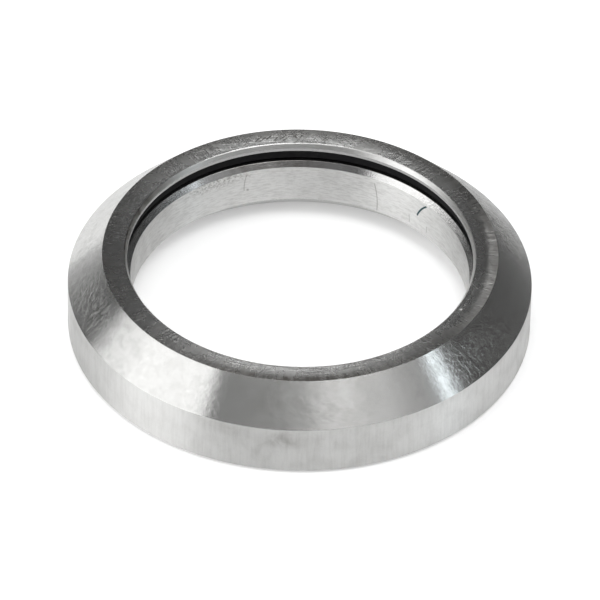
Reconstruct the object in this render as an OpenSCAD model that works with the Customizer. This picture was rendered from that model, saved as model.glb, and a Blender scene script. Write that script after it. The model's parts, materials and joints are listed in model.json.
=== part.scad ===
// Sealed angular contact bearing for a threadless bicycle headset.
// The axis is Z, the bottom face lies at z = 0 and the outer seat faces up.
// Every ring is a half section turned about the axis: X is the radius and Y is the height.
// All lengths are in millimetres and all angles in degrees.

/* [Bearing] */
// Diameter of the bore
bore_d = 30.5; // [27:0.1:38]
// Radial width of the bearing, from the bore to the outer wall
bearing_w = 5.65; // [5.4:0.05:6.2]
// Height over both rings
height = 8; // [7.2:0.1:9]

/* [Seats] */
// Width of the seat on the outer ring, seen from above
outer_seat_w = 3.1; // [2.6:0.1:3.4]
// Slope of the outer seat
outer_seat_angle = 45; // [36:1:45]
// Width of the seat in the bore of the inner ring, seen from below
inner_seat_w = 1.9; // [1.5:0.1:2.2]
// Slope of the inner seat
inner_seat_angle = 45; // [36:1:45]
// Small break on the outer edges
edge_break = 0.3; // [0.1:0.05:0.5]

/* [Balls and races] */
// Diameter of a ball
ball_d = 3.175; // [2.8:0.025:3.3]
// Number of balls
ball_count = 28; // [20:1:28]
// Tilt of the line of contact, out of the plane of the balls
contact_angle = 45; // [38:1:50]
// Radius of the race groove, as a share of the ball diameter
race_fit = 0.53; // [0.52:0.005:0.56]
// Play between a ball and each race
ball_play = 0.03; // [0.03:0.01:0.06]
// How far each low shoulder stands inside the outline of the balls
retaining_lip = 0.18; // [0.05:0.01:0.25]
// Distance of each high shoulder from the pitch circle
high_shoulder = 0.325; // [0.2:0.025:0.5]

/* [Lip over the seal] */
// Radial step from the bore out to the lip
lip_step = 0.31; // [0.2:0.01:0.5]
// Thickness of the lip
lip_t = 0.78; // [0.6:0.01:1]
// Radial width of the break on the lip
lip_break_w = 0.22; // [0.1:0.01:0.3]
// Height of the break on the lip
lip_break_h = 0.43; // [0.2:0.01:0.5]

/* [Inner ring] */
// Break at the top of the bore
bore_break = 0.45; // [0.2:0.05:0.6]
// Width of the flat bottom face
bottom_land = 1.05; // [0.8:0.05:1.2]

/* [Upper seal] */
// Room between the lip and the inner ring
upper_room = 1.17; // [1.1:0.01:1.4]
// Recess of the seal behind the lip
upper_recess = 0.29; // [0.2:0.01:0.4]
// Height of the edge that holds the bead from below
upper_edge_h = 0.12; // [0.08:0.01:0.25]
// Thickness of the wall between bead and lip
upper_wall = 0.55; // [0.4:0.05:0.65]
// Distance of the seal groove from the pitch circle
upper_groove_in = 0.425; // [0.35:0.025:0.6]

/* [Lower seal] */
// Height of the outer bead
lower_bead_h = 0.85; // [0.7:0.05:0.9]
// Recess of the seal above the bottom face
lower_recess = 0.35; // [0.3:0.05:0.4]
// Depth of the wall below the bead and the lip
lower_dish = 0.15; // [0.05:0.05:0.2]
// Wall of the outer ring behind the seal
lower_groove_wall = 0.95; // [0.8:0.05:1.1]

/* [Fit of the seals] */
// Undercut that each bead snaps behind
seal_snap = 0.15; // [0.1:0.01:0.2]
// Play of a bead in its groove
seal_play = 0.05; // [0.03:0.01:0.08]
// Gap between a seal lip and the inner ring
seal_gap = 0.08; // [0.05:0.01:0.12]
// Thickness of a seal lip at its edge
seal_lip_t = 0.3; // [0.2:0.05:0.4]

/* [Cage] */
// Gap between the cage and the rings
cage_gap = 0.25; // [0.15:0.05:0.35]
// Play of a ball in its pocket
pocket_play = 0.08; // [0.04:0.01:0.12]
// Radial width of the fingers between the balls
finger_w = 1.4; // [1:0.1:1.6]
// How far the fingers reach below the middle of the balls
finger_drop = 0.95; // [0.6:0.05:1.1]
// Where the fingers meet the side ring, above the middle of the balls
side_ring_rise = 1.2; // [1:0.05:1.3]
// Width of the slot that parts each finger into two horns
slot_w = 0.4; // [0.2:0.05:0.5]
// Height of that slot
slot_h = 0.55; // [0.3:0.05:0.7]

/* [Hidden] */
$fn = 144;

// Main radii
bore_r = bore_d / 2;
outer_r = bore_r + bearing_w;
pitch_r = bore_r + bearing_w / 2;
ball_r = ball_d / 2;

// Seats: each slopes from one face of the bearing to its cylinder
outer_seat_h = outer_seat_w * tan(outer_seat_angle);
inner_seat_h = inner_seat_w * tan(inner_seat_angle);
outer_seat_top_r = outer_r - outer_seat_w;
inner_seat_foot_r = bore_r + inner_seat_w;

// Middle of the balls, where the walls behind both races are equally thick
ball_z = (
    height * cos(outer_seat_angle)
    + (outer_seat_top_r - pitch_r) * sin(outer_seat_angle)
    - (pitch_r - inner_seat_foot_r) * sin(inner_seat_angle)
) / (cos(outer_seat_angle) + cos(inner_seat_angle));

// Races
race_r = race_fit * ball_d;
race_shift = race_r - ball_r - ball_play;
outer_high_r = pitch_r + high_shoulder;
outer_low_r = pitch_r + ball_r - retaining_lip;
inner_high_r = pitch_r - high_shoulder;
inner_low_r = pitch_r - ball_r + retaining_lip;

// Levels at the upper end
lip_r = bore_r + lip_step;
lip_z = height - lip_t;
inner_top_z = lip_z - upper_room;
upper_groove_z = inner_top_z + upper_edge_h + seal_snap;
upper_bead_z = upper_groove_z + seal_play;
upper_groove_r = pitch_r - upper_groove_in;
upper_bead_w = 2 * seal_snap + seal_lip_t;

// Levels at the lower end
lower_groove_r = outer_r - lower_groove_wall;
lower_groove_top_z = lower_recess + lower_bead_h + seal_play;
lower_bead_w = 2 * seal_snap + seal_lip_t;
flange_r = inner_seat_foot_r + bottom_land;

// Cage
pocket_r = ball_r + pocket_play;
cage_top_z = inner_top_z - cage_gap;
side_ring_z = ball_z + side_ring_rise;
finger_z = ball_z - finger_drop;
ball_pitch = 360 / ball_count;

// One node for each loose piece: the balls are numbered round the bearing from the X axis
function two_digits(i) = i < 10 ? str("0", i) : str(i);
function ball_name(i) = str("ball_", two_digits(i));
ball_names = [for (i = [1:ball_count]) ball_name(i)];

// Groove that a race cuts into a ring, next to the ball along the line of contact.
// It opens the outer ring where side is 1 and the inner ring where side is -1.
module race_groove(side) {
    translate([
        pitch_r - side * race_shift * cos(contact_angle),
        ball_z - side * race_shift * sin(contact_angle)
    ])
        circle(race_r);
}

// Outer ring: the seat outside, and the lip, both seal grooves and the race inside
module outer_ring_section() {
    difference() {
        polygon([
            [lower_groove_r - seal_snap, 0],
            [outer_r - edge_break, 0],
            [outer_r, edge_break],
            [outer_r, height - outer_seat_h],
            [outer_seat_top_r, height],
            [lip_r + lip_break_w, height],
            [lip_r, height - lip_break_h],
            [lip_r, lip_z],
            [upper_groove_r, lip_z],
            [upper_groove_r, upper_groove_z],
            [upper_groove_r - seal_snap, upper_groove_z - seal_snap],
            [upper_groove_r - seal_snap, inner_top_z],
            [outer_high_r, inner_top_z],
            [outer_high_r, ball_z],
            [outer_low_r, ball_z],
            [outer_low_r, lower_groove_top_z],
            [lower_groove_r, lower_groove_top_z],
            [lower_groove_r, lower_recess - seal_play],
            [lower_groove_r - seal_snap, lower_recess - seal_play - seal_snap]
        ]);
        race_groove(1);
    }
}

// Inner ring: the bore and its seat inside, and the race and the flange under the seal outside
module inner_ring_section() {
    difference() {
        polygon([
            [inner_seat_foot_r, 0],
            [flange_r - edge_break / 2, 0],
            [flange_r, edge_break / 2],
            [flange_r, lower_groove_top_z],
            [inner_high_r, lower_groove_top_z],
            [inner_high_r, ball_z],
            [inner_low_r, ball_z],
            [inner_low_r, inner_top_z],
            [bore_r + bore_break, inner_top_z],
            [bore_r, inner_top_z - bore_break],
            [bore_r, inner_seat_h]
        ]);
        race_groove(-1);
    }
}

// Upper seal: a bead in the outer ring, a thin wall and a lip that ends just over the inner ring
module upper_seal_section() {
    top_z = lip_z - seal_play;
    bead_r = upper_groove_r - seal_play;
    neck_r = bead_r - upper_bead_w;
    lip_in_r = lip_r + upper_recess;
    wall_z = top_z - upper_wall;
    tip_z = inner_top_z + seal_gap;
    polygon([
        [lip_in_r, top_z],
        [bead_r, top_z],
        [bead_r, upper_bead_z],
        [bead_r - seal_snap, upper_bead_z],
        [neck_r, wall_z],
        [lip_in_r + 2 * seal_lip_t, wall_z],
        [lip_in_r + seal_lip_t, tip_z],
        [lip_in_r, tip_z + seal_snap]
    ]);
}

// Lower seal: a bead in the outer ring, a dished wall and a lip that ends just off the flange
module lower_seal_section() {
    bead_r = lower_groove_r - seal_play;
    neck_r = bead_r - lower_bead_w;
    tip_r = flange_r + seal_gap;
    low_z = lower_recess;
    top_z = low_z + lower_bead_h;
    polygon([
        [tip_r, low_z],
        [tip_r + seal_lip_t / 2, low_z],
        [tip_r + seal_lip_t, low_z + lower_dish],
        [neck_r, low_z + lower_dish],
        [neck_r + seal_snap, low_z],
        [bead_r, low_z],
        [bead_r, top_z],
        [bead_r - seal_snap, top_z],
        [neck_r, top_z - lower_dish],
        [tip_r + seal_lip_t, top_z - lower_dish],
        [tip_r, top_z - lower_dish - seal_snap]
    ]);
}

// Cage: a side ring above the balls, with a band of fingers that reach down between them
module cage_section() {
    polygon([
        [inner_low_r + cage_gap, side_ring_z],
        [pitch_r - finger_w / 2, side_ring_z],
        [pitch_r - finger_w / 2, finger_z],
        [pitch_r + finger_w / 2, finger_z],
        [pitch_r + finger_w / 2, side_ring_z],
        [outer_high_r - cage_gap, side_ring_z + cage_gap],
        [outer_high_r - cage_gap, cage_top_z],
        [inner_low_r + cage_gap, cage_top_z]
    ]);
}

// Slot with a round end that parts a finger into the horns of two neighbouring pockets
module horn_slot() {
    rotate([90, 0, 90])
        linear_extrude(2 * bearing_w, center = true)
            union() {
                translate([0, slot_h - slot_w / 2])
                    circle(d = slot_w);
                translate([-slot_w / 2, -slot_h])
                    square([slot_w, 2 * slot_h - slot_w / 2]);
            }
}

// The places round the pitch circle, a whole step apart, or half a step further for the fingers
module at_ball(i) {
    rotate([0, 0, (i - 1) * ball_pitch])
        translate([pitch_r, 0, ball_z])
            children();
}

module outer_ring() {
    color("silver")
        rotate_extrude()
            outer_ring_section();
}

module inner_ring() {
    color("lightgray")
        rotate_extrude()
            inner_ring_section();
}

module upper_seal() {
    color("dimgray")
        rotate_extrude()
            upper_seal_section();
}

module lower_seal() {
    color("dimgray")
        rotate_extrude()
            lower_seal_section();
}

module cage() {
    color("ivory")
        difference() {
            rotate_extrude()
                cage_section();
            for (i = [1:ball_count]) {
                at_ball(i)
                    sphere(pocket_r);
                at_ball(i + 0.5)
                    translate([0, 0, -finger_drop])
                        horn_slot();
            }
        }
}

module ball(i) {
    color("gainsboro")
        at_ball(i)
            sphere(ball_r);
}

outer_ring();
inner_ring();
cage();
upper_seal();
lower_seal();
for (i = [1:ball_count])
    ball(i);
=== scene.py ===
# %% [markdown]
# # A headset bearing, dressed in Blender
# The real object is a cartridge bearing from the steerer of a bicycle. Two hardened steel rings hold a row
# of balls in a nylon cage, and a rubber seal closes each side. The CAD model says where every piece is and
# how it moves. This lesson adds the edges, the ground and turned surfaces, the dirt and the light. It begins
# by loading the CAD model as a fixed frame, which is never moved or reshaped.

# %% Load the frame
import json
import math
import random

import bpy
from mathutils import Matrix, Vector


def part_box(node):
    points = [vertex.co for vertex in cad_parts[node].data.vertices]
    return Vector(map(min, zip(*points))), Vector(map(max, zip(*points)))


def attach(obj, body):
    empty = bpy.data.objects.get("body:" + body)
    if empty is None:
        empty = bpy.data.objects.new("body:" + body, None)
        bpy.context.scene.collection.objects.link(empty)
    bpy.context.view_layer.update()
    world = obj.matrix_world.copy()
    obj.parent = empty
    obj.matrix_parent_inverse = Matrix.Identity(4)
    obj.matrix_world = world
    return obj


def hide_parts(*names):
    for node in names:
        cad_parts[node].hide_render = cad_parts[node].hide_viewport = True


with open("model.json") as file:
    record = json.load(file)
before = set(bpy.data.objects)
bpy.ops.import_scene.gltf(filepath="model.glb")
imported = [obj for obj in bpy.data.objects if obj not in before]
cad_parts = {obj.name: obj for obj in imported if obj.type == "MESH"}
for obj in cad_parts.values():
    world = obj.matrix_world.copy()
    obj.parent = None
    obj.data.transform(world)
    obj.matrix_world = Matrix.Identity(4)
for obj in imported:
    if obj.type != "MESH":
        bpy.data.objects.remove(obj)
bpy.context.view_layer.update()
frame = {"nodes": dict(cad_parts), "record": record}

# %% [markdown]
# ## The sizes
# Blender works in metres here and a bearing is drawn in millimetres, so every size below is in millimetres
# and is multiplied by MM where it meets Blender. What the frame can tell is measured from it, so that the
# dressed rings can't drift away from the CAD rings. The rest are the widths of small features, which a box
# doesn't show.

# %% Measure the frame
MM = 0.001


def node_size(node):
    """Largest radius and highest z of a CAD node, in mm."""
    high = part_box(node)[1]
    return round(high.x / MM, 4), round(high.z / MM, 4)


outer_r, top_z = node_size("outer_ring")
inner_big_r, inner_top_z = node_size("inner_ring")
lower_seal_r = node_size("lower_seal")[0]
mounts = {mount["name"]: mount for mount in frame["record"]["mounts"]}
bore_r = mounts["bore"]["dims"]["r_mm"]
print(f"outer radius {outer_r}, height {top_z}, inner ring up to {inner_top_z}, bore radius {bore_r}")

# %% [markdown]
# ## A lathe out of three operators
# Every solid of revolution on this object was turned on a lathe, so one helper plays the lathe. It could
# also be a spin of a drawn profile, but a spin leaves one seam to weld and gives no say over each band. Here
# a circle is the first station, and each further station is an extrusion of the last loop that is then
# lifted and scaled to its own radius. The last loop lands on the first one, the doubles are merged, and the
# ring is closed. 384 steps round the ring keep the outline smooth even in a close view.

# %% The lathe
SEGMENTS = 384
WELD = 0.002                      # mm


def turn_profile(name, stations):
    """A closed ring through the stations (radius, z) in mm, the first one not repeated at the end."""
    bpy.ops.object.select_all(action="DESELECT")
    radius, z = stations[0]
    bpy.ops.mesh.primitive_circle_add(vertices=SEGMENTS, radius=radius * MM, location=(0, 0, 0))
    ring = bpy.context.object
    ring.name = ring.data.name = name
    bpy.ops.object.mode_set(mode="EDIT")
    bpy.ops.transform.translate(value=(0, 0, z * MM))
    for next_radius, next_z in [*stations[1:], stations[0]]:
        bpy.ops.mesh.extrude_edges_move(TRANSFORM_OT_translate={"value": (0, 0, (next_z - z) * MM)})
        grow = next_radius / radius
        bpy.ops.transform.resize(value=(grow, grow, 1), center_override=(0, 0, 0))
        radius, z = next_radius, next_z
    bpy.ops.mesh.select_all(action="SELECT")
    bpy.ops.mesh.remove_doubles(threshold=WELD * MM)
    bpy.ops.mesh.normals_make_consistent(inside=False)
    bpy.ops.object.mode_set(mode="OBJECT")
    print(f"{name}: {len(stations)} stations, {len(ring.data.polygons)} faces")
    return ring


# %% [markdown]
# ## Breaking the edges
# No edge of a real bearing is sharp: a tumbler or a stone takes a few hundredths of a millimetre off, and
# that tiny bevel is what catches the light as a bright line. The edges are found by the angle at which they
# turn, and each gets a bevel weight: a share of the width at about 45 degrees, and all of it at steeper
# turns. One Bevel modifier reads the weights. The edges are selected in edge mode, because in vertex mode the
# short edges between two sharp rings would be selected too. Harden Normals keeps the wide faces beside a
# bevel flat, and the modifier is applied, so the mesh itself holds the bevels.

# %% The edge break
GENTLE_TURN, STEEP_TURN = 24, 50      # degrees; race facets turn by less, and 45 degree edges lie in between
BEVEL_STEPS = 3


def break_edges(ring, width, share):
    """Bevels steep edges by the width in mm and 45 degree ones by a share of it, and shades smooth."""
    bpy.ops.object.select_all(action="DESELECT")
    ring.select_set(True)
    bpy.context.view_layer.objects.active = ring
    bpy.ops.object.shade_smooth()
    bpy.ops.object.mode_set(mode="EDIT")
    bpy.ops.mesh.select_mode(type="EDGE")
    for angle, weight in ((GENTLE_TURN, share), (STEEP_TURN, 1 - share)):
        bpy.ops.mesh.select_all(action="DESELECT")
        bpy.ops.mesh.edges_select_sharp(sharpness=math.radians(angle))
        bpy.ops.transform.edge_bevelweight(value=weight)
    bpy.ops.object.mode_set(mode="OBJECT")
    bevel = ring.modifiers.new("edge_break", "BEVEL")
    bevel.width = width * MM
    bevel.segments = BEVEL_STEPS
    bevel.limit_method = "WEIGHT"
    bevel.harden_normals = True
    bpy.ops.object.modifier_apply(modifier=bevel.name)
    print(f"{ring.name}: {len(ring.data.polygons)} faces after an edge break of {width} mm")


# %% [markdown]
# ## The profile of the outer ring
# The outer ring carries the wide 45 degree seat that the photograph shows best. Its flat top reaches in over
# the seal as a lip, and the lip has a steep break and then a short upright land. Under the lip is the groove
# that holds the seal, then the high shoulder of the race and the race itself, an arc round the balls. The
# stations go round the section once, so the order here is the order in which the lathe turns them.

# %% Stations of the outer ring
seat_w = 3.1                      # the seat is 45 degrees, so this is its width and its height
face_r = outer_r - seat_w         # outer edge of the top face
lip_r, lip_break_w, lip_break_h, lip_low_z = 15.56, 0.22, 0.43, 7.22
edge_break = 0.3                  # at the foot of the wall
seal_snap = 0.15                  # size of the small edges that hold the seals
groove_r, groove_low_z = 17.65, 6.32
low_groove_r, low_floor_z = lower_seal_r + 0.05, 1.25
shoulder_r, shoulder_z, low_shoulder_r = 18.4, 6.05, 19.4825
pitch_r, ball_z = 18.075, 3.4     # centres of the balls
race_r = 1.68275
race_shift = 0.04614              # each race centre lies this far from the ball's centre, along r and along z


def race_arc(centre_r, centre_z, start_angle, end_angle, steps=18):
    """Stations along a race, from one angle to the other, in degrees."""
    angles = [start_angle + (end_angle - start_angle) * k / steps for k in range(steps + 1)]
    return [(centre_r + race_r * math.cos(math.radians(a)), centre_z + race_r * math.sin(math.radians(a)))
            for a in angles]


outer_race = (pitch_r - race_shift, ball_z - race_shift)
arc_top = math.degrees(math.acos((shoulder_r - outer_race[0]) / race_r))
arc_low = -math.degrees(math.acos((low_shoulder_r - outer_race[0]) / race_r))
outer_stations = [
    (low_groove_r - seal_snap, 0.0), (outer_r - edge_break, 0.0), (outer_r, edge_break),
    (outer_r, top_z - seat_w), (face_r, top_z),
    (lip_r + lip_break_w, top_z), (lip_r, top_z - lip_break_h), (lip_r, lip_low_z),
    (groove_r, lip_low_z), (groove_r, groove_low_z), (groove_r - seal_snap, groove_low_z - seal_snap),
    (groove_r - seal_snap, shoulder_z), (shoulder_r, shoulder_z),
    *race_arc(*outer_race, arc_top, arc_low),
    (low_shoulder_r, low_floor_z), (low_groove_r, low_floor_z), (low_groove_r, 2 * seal_snap),
    (low_groove_r - seal_snap, seal_snap),
]
print(f"{len(outer_stations)} stations; the race runs from {arc_top:.0f} to {arc_low:.0f} degrees")

# %% [markdown]
# ## The profile of the inner ring
# The inner ring is thinner. Its bore faces the steerer, with a break of 0.45 mm at the top, and its lower
# corner is the second 45 degree seat, which the photograph doesn't show.

# %% Stations of the inner ring
bore_break, inner_seat_w, foot_break = 0.45, 1.9, 0.15
inner_shoulder_r, inner_wall_r = 17.75, 16.6675
race_end_gap = 0.0003             # mm from the wall's radius to the end of the race
inner_race = (pitch_r + race_shift, ball_z + race_shift)
arc_start = -math.degrees(math.acos((inner_shoulder_r - inner_race[0]) / race_r))
arc_end = -360 + math.degrees(math.acos((inner_wall_r + race_end_gap - inner_race[0]) / race_r))
inner_stations = [
    (bore_r + inner_seat_w, 0.0), (inner_big_r - foot_break, 0.0), (inner_big_r, foot_break),
    (inner_big_r, low_floor_z), (inner_shoulder_r, low_floor_z),
    *race_arc(*inner_race, arc_start, arc_end),
    (inner_wall_r, inner_top_z), (bore_r + bore_break, inner_top_z), (bore_r, inner_top_z - bore_break),
    (bore_r, inner_seat_w),
]
print(f"{len(inner_stations)} stations; the race runs from {arc_start:.0f} to {arc_end:.0f} degrees")

# %% [markdown]
# ## Node groups for what steel shows
# Turned and ground steel is one colour; what the eye reads is how its surface is disturbed. The same few
# disturbances come back on every face, so each is built once as a shader node group that works in
# millimetres, and every finish places the groups with values of its own. The groups only put out masks and
# heights. The Principled shader stays in each material.

# %% Small helpers for node trees
def add_node(tree, kind, inputs=None, **settings):
    """A node with its settings, and its inputs set to values or joined to sockets."""
    node = tree.nodes.new(kind)
    for name, value in settings.items():
        setattr(node, name, value)
    for name, value in (inputs or {}).items():
        if isinstance(value, bpy.types.NodeSocket):
            tree.links.new(value, node.inputs[name])
        else:
            node.inputs[name].default_value = value
    return node


def maths(tree, operation, first, second=0.0, third=0.0):
    """The result of one Math node."""
    return add_node(tree, "ShaderNodeMath", {0: first, 1: second, 2: third}, operation=operation).outputs[0]


def gap(tree, value, middle):
    """How far a value lies from a middle, either way."""
    return maths(tree, "ABSOLUTE", maths(tree, "SUBTRACT", value, middle))


def vector_maths(tree, operation, first, second=(0, 0, 0), result="Vector"):
    """The result of one Vector Math node."""
    return add_node(tree, "ShaderNodeVectorMath", {0: first, 1: second}, operation=operation).outputs[result]


def turned_by(tree, vector, angle):
    """The vector turned about z by an angle in radians."""
    return add_node(tree, "ShaderNodeVectorRotate", {"Vector": vector, "Angle": angle},
                    rotation_type="Z_AXIS").outputs[0]


def scaled(tree, vector, factor):
    """The vector times a factor."""
    return add_node(tree, "ShaderNodeVectorMath", {0: vector, "Scale": factor}, operation="SCALE").outputs[0]


def noise(tree, spot, scale, detail, roughness=0.5, distortion=0.0):
    """The value of a noise at a spot."""
    return add_node(tree, "ShaderNodeTexNoise", {"Vector": spot, "Scale": scale, "Detail": detail,
                    "Roughness": roughness, "Distortion": distortion}).outputs["Fac"]


def ramp(tree, value, start, end, low=0.0, high=1.0):
    """The value mapped smoothly from start..end to low..high."""
    return add_node(tree, "ShaderNodeMapRange", {"Value": value, "From Min": start, "From Max": end,
                    "To Min": low, "To Max": high}, interpolation_type="SMOOTHSTEP").outputs["Result"]


def fade_out(tree, value, start, end):
    """1 up to the start and 0 from the end on."""
    return ramp(tree, value, start, end, 1.0, 0.0)


def socket_name(word):
    """What a socket is called: lines_per_mm becomes Lines Per Mm."""
    return word.replace("_", " ").title()


def new_group(name, outputs, **inputs):
    """An empty node group with a position and other inputs, where None is a vector, and its end nodes."""
    tree = bpy.data.node_groups.new(name, "ShaderNodeTree")
    for word, default in {"position": None, **inputs}.items():
        kind = "NodeSocketVector" if default is None else "NodeSocketFloat"
        socket = tree.interface.new_socket(name=socket_name(word), in_out="INPUT", socket_type=kind)
        if default is not None:
            socket.default_value = default
    for label in outputs:
        tree.interface.new_socket(name=label, in_out="OUTPUT", socket_type="NodeSocketFloat")
    return tree, tree.nodes.new("NodeGroupInput").outputs, tree.nodes.new("NodeGroupOutput")


# %% [markdown]
# ## Lathe marks
# A tool or a grinding wheel leaves marks that run round the ring. Noise does them when it changes quickly
# across the marks and slowly along them. So the noise is read at the direction round the axis, which is a
# unit circle and has no seam, and at a third coordinate that counts lines across the section. With the two
# rates swapped the same group gives strokes that run across the ring.

# %% Group: lathe marks
def polar(tree, position):
    """The radius, the unit direction round the axis and the height of a position."""
    flat = vector_maths(tree, "MULTIPLY", position, (1, 1, 0))
    radius = vector_maths(tree, "LENGTH", flat, result="Value")
    unit = vector_maths(tree, "NORMALIZE", flat)
    return radius, unit, add_node(tree, "ShaderNodeSeparateXYZ", {0: position}).outputs["Z"]


def build_lathe_marks():
    tree, given, out = new_group("lathe_marks", ["Height"], lines_per_mm=8.0, breaks_round=3.0)
    radius, unit, z = polar(tree, given["Position"])
    across = maths(tree, "MULTIPLY", maths(tree, "SUBTRACT", radius, z), given["Lines Per Mm"])
    lift = add_node(tree, "ShaderNodeCombineXYZ", {"Z": across}).outputs[0]
    spot = vector_maths(tree, "ADD", scaled(tree, unit, given["Breaks Round"]), lift)
    tree.links.new(noise(tree, spot, 1.0, 3.0, roughness=0.6), out.inputs["Height"])
    return tree


lathe_marks = build_lathe_marks()
print("group:", lathe_marks.name)

# %% [markdown]
# ## Scratches
# Handling leaves straight scratches in every direction. A noise that is squeezed hard along one direction
# turns into streaks, and only its highest crests are kept. A second, slow noise breaks them into lengths.

# %% Group: scratches
def build_scratches():
    tree, given, out = new_group("scratches", ["Mask"], direction=0.0, lines_per_mm=9.0, length=4.0, keep=0.3,
                                 bend=0.2)
    turned = turned_by(tree, given["Position"], given["Direction"])
    along = maths(tree, "DIVIDE", 1.0, given["Length"])
    squeeze = add_node(tree, "ShaderNodeCombineXYZ", {"X": along, "Y": given["Lines Per Mm"], "Z": along})
    streaks = noise(tree, vector_maths(tree, "MULTIPLY", turned, squeeze.outputs[0]), 1.0, 1.0,
                    distortion=given["Bend"])
    edge = maths(tree, "SUBTRACT", 1.0, given["Keep"])
    streak = ramp(tree, streaks, edge, maths(tree, "ADD", edge, 0.16))
    broken = ramp(tree, noise(tree, turned, 0.9, 1.0), 0.44, 0.62)
    tree.links.new(maths(tree, "MULTIPLY", streak, broken), out.inputs["Mask"])
    return tree


scratches = build_scratches()
print("group:", scratches.name)

# %% [markdown]
# ## Smudges and tumbled grain
# Fingers, oil and storage leave soft clouds. The ground seat also shows a fine grain of short curled marks,
# which come from the tumbler. Both are noises: the cloud is a plain one, and the grain is the thin line
# where a noise crosses its middle value.

# %% Groups: smudges and tumbled grain
def build_smudges():
    tree, given, out = new_group("smudges", ["Mask"], size=2.0, low=0.4, high=0.7)
    cloud = noise(tree, given["Position"], maths(tree, "DIVIDE", 1.0, given["Size"]), 4.0, roughness=0.6,
                  distortion=0.6)
    tree.links.new(ramp(tree, cloud, given["Low"], given["High"]), out.inputs["Mask"])
    return tree


def build_tumbled_grain():
    tree, given, out = new_group("tumbled_grain", ["Mask", "Height"], size=0.5, thin=0.05)
    curl = noise(tree, given["Position"], maths(tree, "DIVIDE", 1.0, given["Size"]), 2.0, roughness=0.55,
                 distortion=1.2)
    tree.links.new(fade_out(tree, gap(tree, curl, 0.5), 0.0, given["Thin"]), out.inputs["Mask"])
    tree.links.new(curl, out.inputs["Height"])
    return tree


smudges, tumbled_grain = build_smudges(), build_tumbled_grain()
print("groups:", smudges.name, tumbled_grain.name)

# %% [markdown]
# ## A patch: marks in one place
# Some marks sit in one place: a scuffed arc on the top face, a smudge on the wall. An image could hold them,
# but a mask made of numbers stays sharp and can be moved. A patch fades out at a given angle from its
# azimuth and at a given distance from its radius and its height.

# %% Group: patch
def angle_from(tree, unit, azimuth):
    """The signed angle in radians from an azimuth in degrees to the unit direction."""
    back = turned_by(tree, unit, maths(tree, "MULTIPLY", maths(tree, "RADIANS", azimuth), -1.0))
    parts = add_node(tree, "ShaderNodeSeparateXYZ", {0: back})
    return maths(tree, "ARCTAN2", parts.outputs["Y"], parts.outputs["X"])


def build_patch():
    tree, given, out = new_group("patch", ["Mask"], azimuth=0.0, half_angle=30.0, radius=17.0, half_width=1.0,
                                 height=8.0, half_height=1.0, fade=0.4)
    radius, unit, z = polar(tree, given["Position"])
    angle = maths(tree, "DEGREES", maths(tree, "ABSOLUTE", angle_from(tree, unit, given["Azimuth"])))
    mask = None
    for off, half in ((angle, "Half Angle"), (gap(tree, radius, given["Radius"]), "Half Width"),
                      (gap(tree, z, given["Height"]), "Half Height")):
        inside = maths(tree, "MULTIPLY", given[half], maths(tree, "SUBTRACT", 1.0, given["Fade"]))
        part = fade_out(tree, off, inside, given[half])
        mask = part if mask is None else maths(tree, "MULTIPLY", mask, part)
    tree.links.new(mask, out.inputs["Mask"])
    return tree


patch = build_patch()
print("group:", patch.name)

# %% [markdown]
# ## Single strokes and single cuts
# A hairline or a pen stroke in the bore is a thin bent line on a cylinder, drawn in the distance along the
# surface and the height. A cut on the flat top face is simpler: a point lies in it when its reach along the
# cut and its reach across it, two dot products, are both small. Python works out the two directions, so that
# each cut costs only a few nodes. The shader has a limited memory for values, and many costly masks would
# fill it.

# %% Groups: stroke and straight cut
def build_stroke():
    tree, given, out = new_group("stroke", ["Mask"], azimuth=0.0, height=4.0, half_length=1.0, thickness=0.1,
                                 tilt=0.0, bend=0.1)
    radius, unit, z = polar(tree, given["Position"])
    along = maths(tree, "MULTIPLY", radius, angle_from(tree, unit, given["Azimuth"]))
    local = add_node(tree, "ShaderNodeCombineXYZ", {"X": along,
                     "Y": maths(tree, "SUBTRACT", z, given["Height"])})
    turned = turned_by(tree, local.outputs[0], maths(tree, "RADIANS", given["Tilt"]))
    parts = add_node(tree, "ShaderNodeSeparateXYZ", {0: turned})
    squared = maths(tree, "MULTIPLY", parts.outputs["Y"], parts.outputs["Y"])
    off = gap(tree, parts.outputs["X"], maths(tree, "MULTIPLY", squared, given["Bend"]))
    line = fade_out(tree, off, maths(tree, "MULTIPLY", given["Thickness"], 0.3), given["Thickness"])
    end = fade_out(tree, maths(tree, "ABSOLUTE", parts.outputs["Y"]),
               maths(tree, "MULTIPLY", given["Half Length"], 0.8), given["Half Length"])
    tree.links.new(maths(tree, "MULTIPLY", line, end), out.inputs["Mask"])
    return tree


def build_straight_cut():
    tree, given, out = new_group("straight_cut", ["Mask"], along=None, across=None, start=0.0, side=0.0,
                                 half_length=0.6, thickness=0.08)
    shares = []
    for axis, offset, half in (("Along", "Start", "Half Length"), ("Across", "Side", "Thickness")):
        reach = vector_maths(tree, "DOT_PRODUCT", given["Position"], given[axis], result="Value")
        shares.append(fade_out(tree, gap(tree, reach, given[offset]), 0.0, given[half]))
    tree.links.new(maths(tree, "MULTIPLY", *shares), out.inputs["Mask"])
    return tree


stroke, straight_cut = build_stroke(), build_straight_cut()
print("groups:", stroke.name, straight_cut.name)

# %% [markdown]
# ## A steel face in the making
# Every machined face gets a material of its own. It is built up as in the workshop: first the ground that
# covers the face, then wear in places, and last the shader that reads it all. Until then the marks wait in
# lists: heights for the bump, and shares of roughness, of bare steel and painted highlight, and of dull film
# and painted shade.

# %% The steel face
STEEL = (0.60, 0.60, 0.59)
# colour of bare steel, used for fresh cuts and for painted highlights
BARE_AND_HIGHLIGHT = (0.80, 0.80, 0.79)
# dark stain colour, also used for painted shade
STAIN_AND_SHADE = (0.20, 0.19, 0.175)


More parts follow.
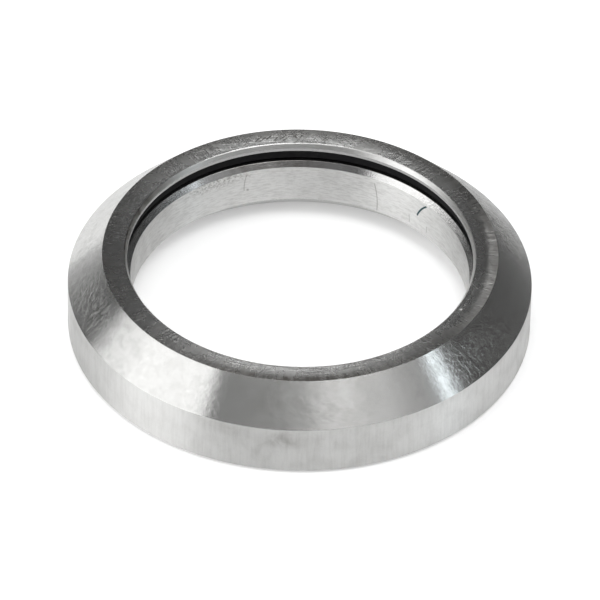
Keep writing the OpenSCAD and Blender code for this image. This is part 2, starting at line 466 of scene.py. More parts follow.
def place_group(tree, group, position, **values):
    """The outputs of a group node that reads the position, with its own values."""
    node = add_node(tree, "ShaderNodeGroup", node_tree=group)
    tree.links.new(position, node.inputs["Position"])
    for word, value in values.items():
        node.inputs[socket_name(word)].default_value = value
    return node.outputs


def new_material(name):
    """A material with its tree, its Principled shader and the object position in mm."""
    material = bpy.data.materials.new(name)
    material.use_nodes = True
    tree = material.node_tree
    here = add_node(tree, "ShaderNodeTexCoord").outputs["Object"]
    return material, tree, tree.nodes["Principled BSDF"], scaled(tree, here, 1 / MM)


class SteelFace:
    """A steel face in the making: its nodes, and the lists of (socket, weight) that its marks add to."""

    def __init__(self, name):
        self.material, self.tree, self.shader, self.position = new_material(name)
        self.heights, self.roughs, self.bright, self.dull, self.torn, self.drawn = [], [], [], [], [], []
        self.masks = {}

    def put(self, group, **values):
        """The outputs of a group node on this face."""
        return place_group(self.tree, group, self.position, **values)

    def times(self, first, second):
        """The product of two sockets or values."""
        return maths(self.tree, "MULTIPLY", first, second)

    def mask_of(self, spot):
        """The mask of a patch, built only once, or 1 for the whole face."""
        if spot is None:
            return 1.0
        key = tuple(spot.values())
        if key not in self.masks:
            self.masks[key] = self.put(patch, **spot)["Mask"]
        return self.masks[key]


print("steel", STEEL, "bare", BARE_AND_HIGHLIGHT, "stained", STAIN_AND_SHADE)

# %% [markdown]
# ## The ground of a face
# Lathe marks, curled grain, fine dots and soft clouds cover a whole face. Near a rim the marks may be worn
# away and the dots be denser, and in some spots the grain is stronger. Marks, grain and dots are height, so
# they show in how reflections break up. The clouds change the roughness. Dots and clouds are darker, as dirt
# stays there.

# %% Lay the ground
GRAIN_LINE_WIDTH = 0.05


def weighted_sum(tree, pairs):
    """The sum of socket times weight over the pairs, 0 for none."""
    total = 0.0
    for socket, weight in pairs:
        total = maths(tree, "MULTIPLY_ADD", socket, weight, total)
    return total


def lay_ground(face, lines_per_mm, breaks_round, depth, grain_size=0.5, grain_height=0.0, grain_line=0.0,
               dot_size=0.15, dot_height=0.3, dot_dark=0.05, cloud_size=2.0, cloud_rough=0.03,
               rim=None, rim_worn=0.0, rim_dots=0.0, rim_painted_dark=0.0, mottled=()):
    """The ground of a face. Sizes are in mm, heights and depths in units of the face's bump height.
    rim: a spot, where rim_worn is the share of the lathe marks that is gone. mottled: (spot, gain) pairs."""
    tree = face.tree
    turned = face.put(lathe_marks, lines_per_mm=lines_per_mm, breaks_round=breaks_round)["Height"]
    curls = face.put(tumbled_grain, size=grain_size, thin=GRAIN_LINE_WIDTH)
    clouds = face.put(smudges, size=cloud_size, low=0.4, high=0.7)["Mask"]
    dots = face.put(smudges, size=dot_size, low=0.3, high=0.7)["Mask"]
    if rim:
        near_rim = face.mask_of(rim)
        # painted dark reflection: the whole rim's colour is darkened towards the stain colour
        face.dull.append((near_rim, rim_painted_dark))
        turned = face.times(turned, maths(tree, "MULTIPLY_ADD", near_rim, -rim_worn, 1.0))
        dots = face.times(dots, maths(tree, "MULTIPLY_ADD", near_rim, rim_dots, 1.0))
    uneven = weighted_sum(tree, [(curls["Height"], grain_height), (curls["Mask"], grain_line),
                                 (dots, dot_height)])
    if mottled:
        gain = weighted_sum(tree, [(face.mask_of(spot), more) for spot, more in mottled])
        uneven = face.times(uneven, maths(tree, "ADD", gain, 1.0))
        face.dull.append((face.times(gain, dots), dot_dark / 2))
    face.heights += [(turned, depth), (uneven, 1.0)]
    face.roughs.append((clouds, cloud_rough))
    face.dull += [(clouds, 2 * cloud_rough), (dots, dot_dark)]


print("width of the grain lines:", GRAIN_LINE_WIDTH)

# %% [markdown]
# ## Wear that runs round or across
# Broad bands of marks are the tool's chatter, darker where they stand high. Scuffs are their opposite: short
# strokes across the ring, where another part has slid over the face. They are rough as well as high.
# Handling leaves cuts in one direction each, bright where they are fresh and dark where they are deep and
# dirty.

# %% Bands, scuffs and cuts
CUT_ROUGHNESS = 0.05


def add_bands(face, lines_per_mm, breaks_round, dark, depth, spot=None):
    """Bands of marks round the ring, dark where they are high."""
    band = face.put(lathe_marks, lines_per_mm=lines_per_mm, breaks_round=breaks_round)["Height"]
    face.heights.append((face.times(band, face.mask_of(spot)), depth))
    face.dull.append((face.times(ramp(face.tree, band, 0.42, 0.66), face.mask_of(spot)), dark))


def add_scuffs(face, lines_per_mm, breaks_round, height, rough, spot):
    """Strokes across the ring in a spot, high and rough."""
    mask = face.mask_of(spot)
    across = face.put(lathe_marks, lines_per_mm=lines_per_mm, breaks_round=breaks_round)["Height"]
    face.heights.append((face.times(mask, across), height))
    face.roughs.append((face.times(mask, ramp(face.tree, across, 0.35, 0.6)), rough))


def add_cuts(face, direction, lines_per_mm, length, keep, depth, shade, spot=None):
    """Scratches in one direction in degrees. shade: how bright they are, or below 0 how dark."""
    cut = face.put(scratches, direction=math.radians(direction), lines_per_mm=lines_per_mm, length=length,
                   keep=keep)["Mask"]
    cut = face.times(cut, face.mask_of(spot))
    face.heights.append((cut, -depth))
    shades = face.bright if shade > 0 else face.dull
    shades.append((ramp(face.tree, cut, 0.3, 0.55), abs(shade)))
    face.roughs.append((cut, CUT_ROUGHNESS))


print("roughness of the cuts:", CUT_ROUGHNESS)

# %% [markdown]
# ## Single marks, film and painted highlights
# The photograph shows a few marks that can be counted: deep cuts at the back, small nicks where the steel is
# torn to a matt white grain, hairlines and a pen stroke. Each is placed by itself. A film of old oil darkens
# a spot in blots, and a painted highlight lightens a spot towards the colour of bare steel.

# %% Single cuts, nicks, strokes, film and painted highlights
DEEP_CUT_WIDTH, DEEP_CUT_DEPTH = 0.10, 3.0
BLOT_SIZE = 1.8
INK = (0.010, 0.055, 0.07)


def unit_at(azimuth):
    """The level direction at an azimuth in degrees."""
    return Vector((math.cos(math.radians(azimuth)), math.sin(math.radians(azimuth)), 0))


def single_cut(face, azimuth, radius, direction, half_length, thickness):
    """The mask of one straight cut that is centred at an azimuth and a radius on the top face."""
    centre, along = radius * unit_at(azimuth), unit_at(direction)
    across = Vector((-along.y, along.x, 0))
    return face.put(straight_cut, along=along, across=across, start=centre.dot(along),
                    side=centre.dot(across), half_length=half_length, thickness=thickness)["Mask"]


def add_deep_cut(face, azimuth, radius, direction, half_length):
    cut = single_cut(face, azimuth, radius, direction, half_length, DEEP_CUT_WIDTH)
    face.heights.append((cut, -DEEP_CUT_DEPTH))
    face.dull.append((cut, 1.0))


def add_nick(face, azimuth, radius, direction, half_length, thickness, torn):
    """A nick, where a share of the steel is torn to a matt white grain."""
    face.torn.append((single_cut(face, azimuth, radius, direction, half_length, thickness), torn))


def add_stroke(face, azimuth, height, half_length, thickness, tilt, bend, strength, colour=STAIN_AND_SHADE):
    """A thin bent line on a cylinder. tilt is in degrees, bend is how far it bows per square millimetre."""
    line = face.put(stroke, azimuth=azimuth, height=height, half_length=half_length, thickness=thickness,
                    tilt=tilt, bend=bend)["Mask"]
    face.drawn.append((line, strength, colour))


def add_film(face, spot, strength):
    blots = face.put(smudges, size=BLOT_SIZE, low=0.1, high=0.85)["Mask"]
    face.dull.append((face.times(face.mask_of(spot), blots), strength))


# painted highlight: lightens the colour of a spot towards bare steel, standing in for mirrored light
def add_painted_highlight(face, spot, share):
    face.bright.append((face.mask_of(spot), share))


print(f"blots of {BLOT_SIZE} mm, deep cuts of {DEEP_CUT_WIDTH} mm to each side")

# %% [markdown]
# ## The shader of a steel face
# The shader is metallic and anisotropic: fine marks run round the ring, so a reflection is smeared across
# them. A radial tangent gives the direction round the axis, and a quarter turn puts the smear across the
# marks. That is what makes the light gather in two opposite fans on a turned face. Torn grain is no longer a
# mirror, so there the metal gives way to a matt colour.

# %% Finish a steel face
TORN = (0.62, 0.62, 0.60)
BUMP_MM = 0.02
QUARTER_TURN = 0.25


def mix_colour(tree, factor, first, second):
    """Two colours, or a socket and a colour, mixed by a factor."""
    node = tree.nodes.new("ShaderNodeMix")
    node.data_type = "RGBA"
    for socket, value in ((node.inputs[0], factor), (node.inputs[6], first), (node.inputs[7], second)):
        if isinstance(value, bpy.types.NodeSocket):
            tree.links.new(value, socket)
        else:
            socket.default_value = (*value, 1) if isinstance(value, tuple) else value
    return node.outputs[2]


def finish_steel(face, roughness, anisotropy, tint=STEEL):
    """The material of a face, with all the marks that were added to it."""
    tree, shader = face.tree, face.shader
    # the bright shares mix towards bare steel colour: fresh cuts and painted highlights
    colour = mix_colour(tree, weighted_sum(tree, face.bright), tint, BARE_AND_HIGHLIGHT) if face.bright else tint
    colour = mix_colour(tree, weighted_sum(tree, face.dull), colour, STAIN_AND_SHADE)
    for line, strength, shade in face.drawn:
        colour = mix_colour(tree, maths(tree, "MULTIPLY", line, strength), colour, shade)
    shader.inputs["Metallic"].default_value = 1.0
    if face.torn:
        torn = weighted_sum(tree, face.torn)
        colour = mix_colour(tree, torn, colour, TORN)
        tree.links.new(maths(tree, "SUBTRACT", 1.0, torn), shader.inputs["Metallic"])
    tree.links.new(colour, shader.inputs["Base Color"])
    tree.links.new(maths(tree, "ADD", roughness, weighted_sum(tree, face.roughs)), shader.inputs["Roughness"])
    bump = add_node(tree, "ShaderNodeBump", {"Strength": 1.0, "Distance": BUMP_MM * MM,
                    "Height": weighted_sum(tree, face.heights)})
    tree.links.new(bump.outputs["Normal"], shader.inputs["Normal"])
    shader.inputs["Anisotropic"].default_value = anisotropy
    shader.inputs["Anisotropic Rotation"].default_value = QUARTER_TURN
    tangent = add_node(tree, "ShaderNodeTangent", direction_type="RADIAL", axis="Z")
    tree.links.new(tangent.outputs["Tangent"], shader.inputs["Tangent"])
    print(f"{face.material.name}: {len(tree.nodes)} nodes")
    return face.material


# %% [markdown]
# ## The top face
# The top face is turned. Its light gathers in fans, and towards the outer edge most of the marks are worn
# away, dirt sits in the dots and the colour is darkened as a painted dark reflection. At the back it is cut
# from several sides, with a dozen deep cuts that can be told apart. On its right side an arc near the outer
# edge is scuffed across the marks, and small nicks glitter there.

# %% Top face: where its wear sits
def place(azimuth, half_angle, radius, half_width, height, half_height, fade):
    """A spot: where a patch sits and how far it reaches, in degrees and mm, and what share of it fades."""
    return dict(azimuth=azimuth, half_angle=half_angle, radius=radius, half_width=half_width, height=height,
                half_height=half_height, fade=fade)


def on_top(azimuth, half_angle, radius, half_width, fade):
    """A spot on the top face."""
    return place(azimuth, half_angle, radius, half_width, top_z, 1, fade)


back_face = on_top(90, 52, 16.4, 1.3, 0.7)
right_face = on_top(5, 48, 16.8, 1.3, 0.5)
front_rim = on_top(265, 34, 17.75, 0.85, 0.7)
scuffed_arc = on_top(-7, 42, 17.8, 1.3, 1.0)
whole_rim = on_top(0, 300, 17.8, 1.7, 1.0)

finishes = {}
top_face = SteelFace("steel_top_face")
lay_ground(top_face, lines_per_mm=12, breaks_round=3, depth=2.0, dot_size=0.25, dot_height=0.22,
           dot_dark=0.04, rim=whole_rim, rim_worn=0.8, rim_dots=1.6, rim_painted_dark=0.53)
add_bands(top_face, lines_per_mm=0.5, breaks_round=55, dark=0.12, depth=1.5)
add_bands(top_face, lines_per_mm=0.5, breaks_round=60, dark=0.35, depth=1.5, spot=front_rim)
print("top face:", len(top_face.heights), "kinds of height so far")

# %% [markdown]
# ## Cuts and nicks of the top face
# Two fields of fine cuts cover the face, and four more lie where the photograph shows them. The two bright
# fields at the back are real cuts and also lighten the colour where the fan of light lies, as a painted
# highlight. The deep cuts and the first three nicks have the places that were read off the photograph. Seven
# more nicks are scattered in the arc where it glitters, from a fixed seed, so that each run gives the same
# ones.

# %% Top face: cuts, nicks and its finish
for direction, lines_per_mm, length, keep, depth, shade, spot in (
        (17, 6, 6, 0.37, 0.2, 0.25, None), (118, 6, 7, 0.36, 0.2, 0.25, None),
        (60, 4, 9, 0.43, 0.6, 0.35, right_face), (-50, 4.5, 3, 0.43, 2.2, -0.5, back_face),
        # these two bright back fields are cuts and also a painted highlight of the fan
        (-8, 6, 6, 0.50, 0.8, 0.8, back_face), (47, 6, 3, 0.51, 0.8, 0.9, back_face)):
    add_cuts(top_face, direction, lines_per_mm, length, keep, depth, shade, spot)
for azimuth, radius, direction, half_length in (
        (104.0, 16.7, 57, 0.75), (102.2, 16.7, 50, 0.8), (100.3, 16.85, 55, 0.6), (98.3, 16.55, 58, 0.6),
        (95.6, 16.8, 47, 0.8), (95.2, 16.45, 50, 0.7), (91.9, 16.95, 42, 0.5), (90.2, 16.8, 52, 0.65),
        (92.2, 16.75, 122, 0.6), (82.7, 16.65, 47, 0.85), (81.9, 16.6, 44, 0.8), (108.5, 16.3, 48, 0.5)):
    add_deep_cut(top_face, azimuth, radius, direction, half_length)
for azimuth, radius, half_length, thickness, torn in (
        (-27.6, 16.25, 0.2, 0.16, 1.0), (-18.6, 17.72, 0.15, 0.13, 1.0), (-12.6, 17.4, 0.4, 0.1, 0.9)):
    add_nick(top_face, azimuth, radius, 0, half_length, thickness, torn)
chance = random.Random(7)
for k in range(7):
    azimuth, radius = chance.uniform(6, 24), chance.uniform(17.1, 17.6)
    direction, half_length = chance.uniform(-15, 15), chance.uniform(0.2, 0.5)
    add_nick(top_face, azimuth, radius, direction, half_length, thickness=0.08, torn=chance.uniform(0.4, 0.8))
add_scuffs(top_face, lines_per_mm=0.7, breaks_round=120, height=8.0, rough=0.40, spot=scuffed_arc)
add_film(top_face, front_rim, 0.45)
finishes["top_face"] = finish_steel(top_face, 0.26, 0.75, tint=(0.71, 0.71, 0.70))

# %% [markdown]
# ## The seat
# The 45 degree seat is ground and then tumbled. Its grinding marks are so shallow that it mirrors the lamps
# as broad upright zones, and its curled grain shows best where a zone ends. There the photograph has three
# mottled spots. The bright zone at the lower left is smoother, and a thin film dulls the front.

# %% The seat's finish
def on_seat(azimuth, half_angle, fade):
    """A spot over the whole width of the seat."""
    return place(azimuth, half_angle, 19.3, 2.6, 6.4, 2.6, fade)


seat = SteelFace("steel_seat")
lay_ground(seat, lines_per_mm=12, breaks_round=2, depth=0.06, grain_size=0.45, grain_height=0.07,
           grain_line=0.02, dot_size=0.45, dot_height=0.10, dot_dark=0.10, cloud_size=0.9, cloud_rough=0.035,
           mottled=[(on_seat(196, 14, 0.8), 5), (on_seat(330, 20, 0.8), 5), (on_seat(376, 14, 0.8), 5),
                    (on_seat(226, 24, 0.6), -0.6)])
add_film(seat, on_seat(271, 26, 0.6), 0.26)
finishes["seat"] = finish_steel(seat, 0.235, 0.97)

# %% [markdown]
# ## The wall
# The wall is ground too, with deeper marks, so it shows no clear reflection. It has broad faint streaks and
# two smudges near its upper edge at the front. At the right and at the far left its colour is painted
# lighter, as a painted reflection of light.

# %% The wall's finish
def on_wall(azimuth, half_angle, height, half_height, fade):
    """A spot on the outer wall."""
    return place(azimuth, half_angle, outer_r, 1, height, half_height, fade)


wall = SteelFace("steel_wall")
lay_ground(wall, lines_per_mm=12, breaks_round=2, depth=0.8, cloud_size=1.6, cloud_rough=0.04)
# painted reflection: these two spots lighten the wall's colour where it should mirror more light
add_painted_highlight(wall, on_wall(330, 44, 2.6, 3.5, 0.6), 0.75)
add_painted_highlight(wall, on_wall(178, 20, 2.6, 3.5, 0.6), 1.0)
add_bands(wall, lines_per_mm=0.3, breaks_round=70, dark=0.08, depth=0.2)
add_film(wall, on_wall(251, 10, 4.3, 1.1, 0.95), 0.5)
add_film(wall, on_wall(267, 10, 3.7, 1.2, 0.95), 0.55)
finishes["wall"] = finish_steel(wall, 0.38, 1.0, tint=(0.64, 0.64, 0.63))

# %% [markdown]
# ## The lip, the land under it and the break of the bore
# The three narrow faces round the opening are turned. The lip has an oily film at the left. The land below it
# looks into the dark gap, and its colour is darkened as painted shade. The break at the top of the bore is
# the smoothest face of all: it has a painted highlight at the right, and it is pitted at both ends and filmed
# over at the back.

# %% The finishes of the lip, the land and the break
def on_break(azimuth, half_angle):
    """A spot on the break of the bore."""
    return place(azimuth, half_angle, 15.5, 1, 5.8, 1, 0.7)


lip = SteelFace("steel_lip")
lay_ground(lip, lines_per_mm=12, breaks_round=4, depth=0.2, cloud_size=1.2)
add_film(lip, place(167, 26, 15.7, 1, 7.8, 1, 0.6), 1.3)
finishes["lip"] = finish_steel(lip, 0.34, 0.85, tint=(0.62, 0.62, 0.61))

land = SteelFace("steel_land")
lay_ground(land, lines_per_mm=12, breaks_round=4, depth=0.2, cloud_size=1.2)
# painted shade: the land's tint is darkened for the dark gap that it faces
finishes["land"] = finish_steel(land, 0.25, 0.8, tint=(0.35, 0.35, 0.35))

bore_edge = SteelFace("steel_break")
lay_ground(bore_edge, lines_per_mm=12, breaks_round=4, depth=0.1, dot_size=0.18, dot_height=0.14,
           dot_dark=0.10, cloud_size=1.2, mottled=[(on_break(28, 24), 4), (on_break(150, 24), 4)])
# painted highlight: a spot at the right is lightened towards bare steel colour
add_painted_highlight(bore_edge, on_break(40, 40), 0.6)
add_film(bore_edge, on_break(99, 24), 1.1)
finishes["break"] = finish_steel(bore_edge, 0.14, 0.4, tint=(0.45, 0.45, 0.45))

# %% [markdown]
# ## The bore
# The bore is ground, with short dashes of the wheel round it and a pitted spot at the back. Two hairlines
# and a few ticks cross it, and beside them is a short bent stroke of a dark pen. Faces that nobody sees,
# such as the races, share one plain finish.

# %% The finishes of the bore and of the hidden faces
bore = SteelFace("steel_bore")
lay_ground(bore, lines_per_mm=14, breaks_round=3, depth=0.9, cloud_size=1.6)
add_bands(bore, lines_per_mm=7, breaks_round=20, dark=0.2, depth=0.6)
bore_pits = place(121, 18, bore_r, 1, 5.5, 1.3, 0.8)
add_bands(bore, lines_per_mm=5, breaks_round=70, dark=0.6, depth=1.0, spot=bore_pits)
for azimuth, height, half_length, thickness, tilt, bend, strength in (
        (63, 3.6, 1.7, 0.07, 6, 0.06, 0.55), (110, 4.4, 1.0, 0.07, -8, -0.1, 0.5),
        (108.9, 3.5, 0.14, 0.15, 0, 0, 0.5), (49.5, 2.8, 0.5, 0.06, 3, 0.1, 0.5),
        (41.2, 2.7, 0.45, 0.06, -4, 0.1, 0.45)):
    add_stroke(bore, azimuth, height, half_length, thickness, tilt, bend, strength)
add_stroke(bore, 44.2, 4.6, 1.15, thickness=0.13, tilt=-35, bend=-0.13, strength=1.0, colour=INK)
finishes["bore"] = finish_steel(bore, 0.40, 1.0, tint=(0.78, 0.78, 0.77))

inside = SteelFace("steel_inside")
lay_ground(inside, lines_per_mm=12, breaks_round=5, depth=0.2)
finishes["hidden"] = finish_steel(inside, 0.22, 0.5)
print("finishes:", ", ".join(finishes))

# %% [markdown]
# ## Rubber, nylon and the balls
# The seals are black nitrile rubber, nearly matt and a little dusty. The cage is moulded nylon, and the
# balls are polished steel with a film of grease.

# %% Rubber, nylon and ball steel
def plain_finish(name, colour, second_colour, roughness, metallic=0.0, size=0.6, bump_mm=0.002, shine=0.5):
    """A finish without direction: two colours mixed by clouds, with roughness and bump from noise too."""
    material, tree, shader, position = new_material(name)
    clouds = place_group(tree, smudges, position, size=size, low=0.4, high=0.7)["Mask"]
    curls = place_group(tree, tumbled_grain, position, size=size / 3, thin=GRAIN_LINE_WIDTH)["Height"]
    tree.links.new(mix_colour(tree, clouds, colour, second_colour), shader.inputs["Base Color"])
    tree.links.new(maths(tree, "MULTIPLY_ADD", clouds, 0.12, roughness), shader.inputs["Roughness"])
    bump = add_node(tree, "ShaderNodeBump", {"Strength": 1.0, "Distance": bump_mm * MM, "Height": curls})
    tree.links.new(bump.outputs["Normal"], shader.inputs["Normal"])
    shader.inputs["Metallic"].default_value = metallic
    shader.inputs["Specular IOR Level"].default_value = shine
    return material


rubber = plain_finish("seal_rubber", (0.008, 0.008, 0.009), (0.014, 0.014, 0.014), 0.6, shine=0.07)
nylon = plain_finish("cage_nylon", (0.80, 0.76, 0.66), (0.72, 0.67, 0.55), 0.42, size=1.5)
ball_steel = plain_finish("ball_steel", (0.66, 0.66, 0.67), (0.52, 0.52, 0.50), 0.07, metallic=1.0, size=1.2,
                          bump_mm=0.0004)
print("finishes:", rubber.name, nylon.name, ball_steel.name)

# %% [markdown]
# ## The outer ring
# The outer ring is turned, painted band by band, and then given its edge break. Painting comes first,
# because a bevel takes over the finish of the band beside it. Each face of the mesh finds its finish by
# where it lies, which is safer than counting the bands.

# %% Turn the outer ring
TOUCH = 0.01                      # a face whose middle is this near to a surface, in mm, lies on it
FACES_UP = 0.5                    # least z of an upward normal
WALL_DEPTH = 1.0                  # what lies within this of the outside, in mm, is wall


def paint_bands(ring, finish_of):
    """Gives each face the finish that finish_of names for its middle's radius and z and its normal's z."""
    names = list(finishes)
    for material in finishes.values():
        ring.data.materials.append(material)
    for face in ring.data.polygons:
        radius = math.hypot(face.center.x, face.center.y) / MM
        face.material_index = names.index(finish_of(radius, face.center.z / MM, face.normal.z))


def outer_finish(radius, z, normal_z):
    if z > top_z - TOUCH:
        return "top_face"
    if radius > face_r and z > top_z - seat_w and normal_z > FACES_UP:
        return "seat"
    if radius < lip_r + lip_break_w and z > lip_low_z - TOUCH:
        return "lip" if z > top_z - lip_break_h else "land"
    if radius > outer_r - WALL_DEPTH:
        return "wall"
    return "hidden"


outer_ring = turn_profile("outer_ring_steel", outer_stations)
paint_bands(outer_ring, outer_finish)
break_edges(outer_ring, 0.10, share=0.15)
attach(outer_ring, "outer")
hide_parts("outer_ring")

# %% [markdown]
# ## The inner ring
# The inner ring is made the same way. In the photograph only its bore and the break above it are seen. Its
# edge break is narrower, but its 45 degree edges get a larger share of it.

# %% Turn the inner ring
def inner_finish(radius, z, normal_z):
    if radius < bore_r + TOUCH:
        return "bore"
    if radius < bore_r + bore_break and z > inner_top_z - bore_break:
        return "break"
    return "hidden"


inner_ring = turn_profile("inner_ring_steel", inner_stations)
paint_bands(inner_ring, inner_finish)
break_edges(inner_ring, 0.06, share=0.6)
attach(inner_ring, "inner")
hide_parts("inner_ring")

# %% [markdown]
# ## The seals
# The seals are moulded rubber rings. Each has a bead that snaps into a groove of the outer ring, a thin
# dished wall, and a lip that runs close to the inner ring. They are turned like the rings, with a softer
# edge, and they stay with the outer ring when the inner one turns.

# %% Turn the seals
upper_stations = [(15.85, 7.17), (17.6, 7.17), (17.6, 6.37), (17.45, 6.37), (17.0, 6.62), (16.45, 6.62),
                  (16.15, 6.13), (15.85, 6.28)]
lower_stations = [(18.28, 0.35), (18.43, 0.35), (18.58, 0.5), (19.3, 0.5), (19.45, 0.35), (19.9, 0.35),
                  (19.9, 1.2), (19.75, 1.2), (19.3, 1.05), (18.58, 1.05), (18.28, 0.9)]
for name, stations, node in (("upper_seal_rubber", upper_stations, "upper_seal"),
                             ("lower_seal_rubber", lower_stations, "lower_seal")):
    seal = turn_profile(name, stations)
    seal.data.materials.append(rubber)
    break_edges(seal, 0.05, share=1.0)
    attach(seal, "outer")
    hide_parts(node)

# %% [markdown]
# ## The cage and the balls
# The nylon cage has a round pocket for each ball, and the balls are plain spheres. Their CAD nodes have the
# right shape already, so they stay and only get their finishes in place of the flat colour that they came
# with.

# %% Dress the cage and the balls
for name, node in frame["nodes"].items():
    if name == "cage" or name.startswith("ball_"):
        finish = nylon if name == "cage" else ball_steel
        node.data.materials.clear()
        node.data.materials.append(finish)
print("dressed the cage and", sum(n.startswith("ball_") for n in frame["nodes"]), "balls")

# %% [markdown]
# ## The camera
# A long lens from 40 degrees above, 0.67 m away. It was found by fitting the eight visible circles of the
# bearing to the photograph, so its small roll and offset are part of the fit.

# %% The camera
ELEVATION, ROLL, DISTANCE = math.radians(39.79), math.radians(-1.06), 673.9
AIM_RIGHT, AIM_UP, AIM_Z = -0.052, 1.811, 4.838       # where the picture's middle looks, in mm
FOCAL_PIXELS, PIXELS, SENSOR = 7480.0, 600, 36
right = Vector((1, 0, 0))
up = Vector((0, math.sin(ELEVATION), math.cos(ELEVATION)))
forward = Vector((0, math.cos(ELEVATION), -math.sin(ELEVATION)))
turned_right = math.cos(ROLL) * right - math.sin(ROLL) * up
turned_up = math.sin(ROLL) * right + math.cos(ROLL) * up
eye = (-(AIM_RIGHT * right + AIM_UP * up + DISTANCE * forward) + Vector((0, 0, AIM_Z))) * MM
camera = bpy.data.objects.new("camera", bpy.data.cameras.new("camera"))
bpy.context.scene.collection.objects.link(camera)
camera.data.sensor_width = SENSOR
camera.data.lens = FOCAL_PIXELS * SENSOR / PIXELS
axes = Matrix((turned_right, turned_up, -forward)).transposed()
camera.matrix_world = Matrix.Translation(eye) @ axes.to_4x4()
bpy.context.scene.camera = camera
print("camera at", [round(v, 3) for v in eye], "lens", camera.data.lens)

# %% [markdown]
# ## The white table
# The bearing lies on a white table, which the photograph has blown out to plain white. More light would do
# that, but it would burn out the steel too. So the table glows a little, only for the camera and for
# mirrored and refracted rays, and it still takes the bearing's shadow.

# %% The table
TABLE_R, TABLE_DROP = 1.6, 0.02   # metres, and millimetres below the bearing
BACKGROUND_RAYS = ("Is Camera Ray", "Is Glossy Ray", "Is Transmission Ray")


def ray_is(tree, *kinds):
    """1 for rays of these kinds, else 0."""
    path = add_node(tree, "ShaderNodeLightPath")
    total = path.outputs[kinds[0]]
    for kind in kinds[1:]:
        total = maths(tree, "MAXIMUM", total, path.outputs[kind])
    return total


def stage_material(name, colour, glow, for_rays=None):
    """A matt material for the set, with a white glow that may be limited to some kinds of ray."""
    material = bpy.data.materials.new(name)
    material.use_nodes = True
    tree = material.node_tree
    shader = tree.nodes["Principled BSDF"]
    shader.inputs["Base Color"].default_value = (*colour, 1)
    shader.inputs["Roughness"].default_value = 1.0
    shader.inputs["Specular IOR Level"].default_value = 0.0
    shader.inputs["Emission Color"].default_value = (1, 1, 1, 1)
    if for_rays:
        strength = maths(tree, "MULTIPLY", ray_is(tree, *for_rays), glow)
        tree.links.new(strength, shader.inputs["Emission Strength"])
    else:
        shader.inputs["Emission Strength"].default_value = glow
    return material


bpy.ops.object.select_all(action="DESELECT")
bpy.ops.mesh.primitive_circle_add(vertices=96, radius=TABLE_R, fill_type="NGON",
                                  location=(0, 0, -TABLE_DROP * MM))
table = bpy.context.object
table.name = "white_table"
white = stage_material("white_table", (0.8, 0.8, 0.8), 0.26, for_rays=BACKGROUND_RAYS)
table.data.materials.append(white)
print("table:", table.name)

# %% [markdown]
# ## The dark studio
# Polished steel shows whatever is round it, and in a white tent it would turn white all over. So, as in the
# photograph, the studio round the table is dark, and the metal shows the white table, the dark room and the
# lamps. The room is a dome that only mirrored rays see. The camera sees plain white.

# %% The dark room
ROOM_R, ROOM_FOOT = 1.5, 0.02     # metres
bpy.ops.object.select_all(action="DESELECT")
bpy.ops.mesh.primitive_uv_sphere_add(segments=64, ring_count=32, radius=ROOM_R, location=(0, 0, 0))
room = bpy.context.object
room.name = "dark_room"
bpy.ops.object.mode_set(mode="EDIT")
bpy.ops.mesh.select_all(action="SELECT")
bpy.ops.mesh.bisect(plane_co=(0, 0, ROOM_FOOT), plane_no=(0, 0, 1), clear_inner=True)
bpy.ops.object.mode_set(mode="OBJECT")
room.data.materials.append(stage_material("dark_room", (0, 0, 0), 0.08))
room.visible_camera = room.visible_diffuse = room.visible_shadow = False
print("dark room:", len(room.data.polygons), "faces")

# %% [markdown]
# ## The dark card
# In the photograph the right end of the seat mirrors something dark that stands low behind it, perhaps the
# edge of the set. A black card does that here. It lies flat on the table, folds up at its far end, and is
# turned towards the right. It too is seen only by mirrored rays. With no window the rotate operator turns
# clockwise.

# %% The card
CARD_WIDTH, CARD_DEPTH, CARD_MIDDLE = 0.12, 0.047, 0.0635      # in metres, as is FOLD
FOLD = (0, 0.01, 0.06)
CARD_TURN = 42                    # degrees, clockwise from straight behind
bpy.ops.object.select_all(action="DESELECT")
bpy.ops.mesh.primitive_plane_add(size=1, location=(0, 0, 0))
card = bpy.context.object
card.name = "dark_card"
bpy.ops.object.mode_set(mode="EDIT")
bpy.ops.transform.resize(value=(CARD_WIDTH, CARD_DEPTH, 1))
bpy.ops.transform.translate(value=(0, CARD_MIDDLE, 0.1 * MM))
bpy.ops.mesh.select_mode(type="EDGE")
bpy.ops.mesh.select_all(action="DESELECT")
bpy.ops.object.mode_set(mode="OBJECT")
for edge in card.data.edges:
    edge.select = all(card.data.vertices[v].co.y > CARD_MIDDLE for v in edge.vertices)
bpy.ops.object.mode_set(mode="EDIT")
bpy.ops.mesh.extrude_edges_move(TRANSFORM_OT_translate={"value": FOLD})
bpy.ops.mesh.select_all(action="SELECT")
bpy.ops.transform.rotate(value=math.radians(CARD_TURN), orient_axis="Z", center_override=(0, 0, 0))
bpy.ops.object.mode_set(mode="OBJECT")
card.data.materials.append(stage_material("dark_card", (0, 0, 0), 0.10))
card.visible_camera = card.visible_diffuse = card.visible_shadow = False
print("card:", [[round(v / MM) for v in corner.co] for corner in card.data.vertices])

# %% [markdown]
# ## The world
# The world is the white background: strength 1 for the camera and for mirrored and refracted rays, and half
# of that for the soft light that fills the shadows. The view transform is Standard, so that a colour renders
# as it is written.

# %% The world
FILL = 0.5
world = bpy.data.worlds.new("studio")
bpy.context.scene.world = world
world.use_nodes = True
background = world.node_tree.nodes["Background"]
seen = ray_is(world.node_tree, *BACKGROUND_RAYS)
strength = maths(world.node_tree, "MULTIPLY_ADD", seen, 1 - FILL, FILL)
world.node_tree.links.new(strength, background.inputs["Strength"])
background.inputs["Color"].default_value = (1, 1, 1, 1)
world.cycles.sampling_method = "NONE"
bpy.context.scene.view_settings.view_transform = "Standard"
print("world:", world.name, "with a fill of", FILL)

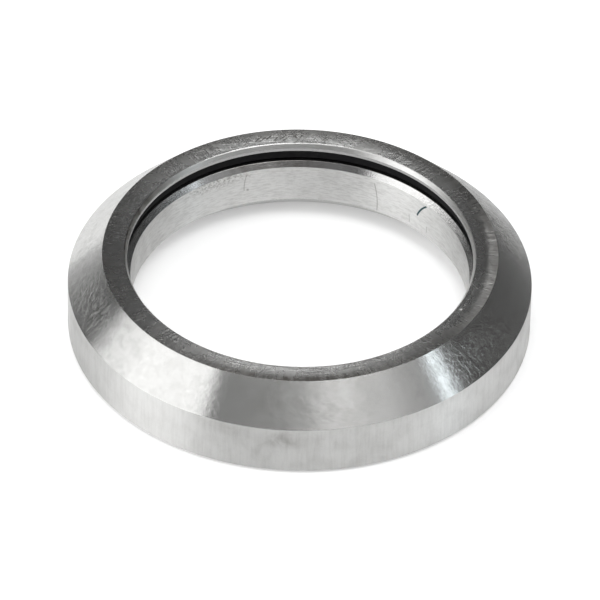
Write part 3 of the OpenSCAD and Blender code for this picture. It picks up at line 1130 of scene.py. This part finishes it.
# %% [markdown]
# ## The lamps
# The light zones on the seat and the fans on the top face are mirror images of the lamps, so each lamp is
# set by the direction in which it stands, the angle that it fills and how bright it looks from the bearing.
# A wide leaning lamp at the left makes the bright zone of the seat, with a low one beside it for the wall.
# The overhead lamp makes the fans at the front and the back, and two high ones widen them. Two faint ones
# lift the front of the seat, a narrow bluish strip draws its bright streak at the front right, and a low one
# lights the far side.

# %% The lamps
LAMP_AIM = Vector((0, 0, 4 * MM))


def soft_lamp(name, azimuth, elevation, wide, tall, brightness, roll=0, colour=(1, 1, 1), away=0.6):
    """An area lamp in a direction in degrees, wide by tall degrees big, leaning by roll, seen that bright."""
    a, e, r = math.radians(azimuth), math.radians(elevation), math.radians(roll)
    direction = Vector((math.cos(a) * math.cos(e), math.sin(a) * math.cos(e), math.sin(e)))
    sideways = Vector((-math.sin(a), math.cos(a), 0))
    upright = sideways.cross(direction) * -1
    tall_axis = math.cos(r) * upright + math.sin(r) * sideways
    data = bpy.data.lights.new(name, "AREA")
    data.shape = "RECTANGLE"
    data.size = 2 * away * math.tan(math.radians(wide / 2))
    data.size_y = 2 * away * math.tan(math.radians(tall / 2))
    data.energy = brightness * math.pi * data.size * data.size_y
    data.color = colour
    lamp = bpy.data.objects.new(name, data)
    bpy.context.scene.collection.objects.link(lamp)
    axes = Matrix((tall_axis.cross(direction), tall_axis, direction)).transposed()
    lamp.matrix_world = Matrix.Translation(direction * away + LAMP_AIM) @ axes.to_4x4()
    lamp.visible_camera = False
    print(f"{name}: {data.size:.2f} x {data.size_y:.2f} m, {data.energy:.2f} W")


soft_lamp("lamp_left", 194.5, 29, wide=52, tall=56, brightness=1.5, roll=-39)
soft_lamp("lamp_low_left", 206, 10, wide=36, tall=18, brightness=1.9)
soft_lamp("lamp_overhead", 315, 89, wide=32, tall=52, brightness=2.7)
soft_lamp("lamp_high_back", 85, 60, wide=18, tall=10, brightness=0.8)
soft_lamp("lamp_high_right", 332, 67, wide=38, tall=18, brightness=2.0)
soft_lamp("lamp_soft_front", 290, 48, wide=110, tall=34, brightness=0.235, away=0.7)
soft_lamp("lamp_soft_right", 332, 43, wide=30, tall=26, brightness=0.2)
soft_lamp("lamp_strip", 345, 26, wide=5, tall=52, brightness=2.3, roll=18, colour=(0.86, 0.95, 1.0))
soft_lamp("lamp_back", 105, 6, wide=44, tall=12, brightness=1.5)
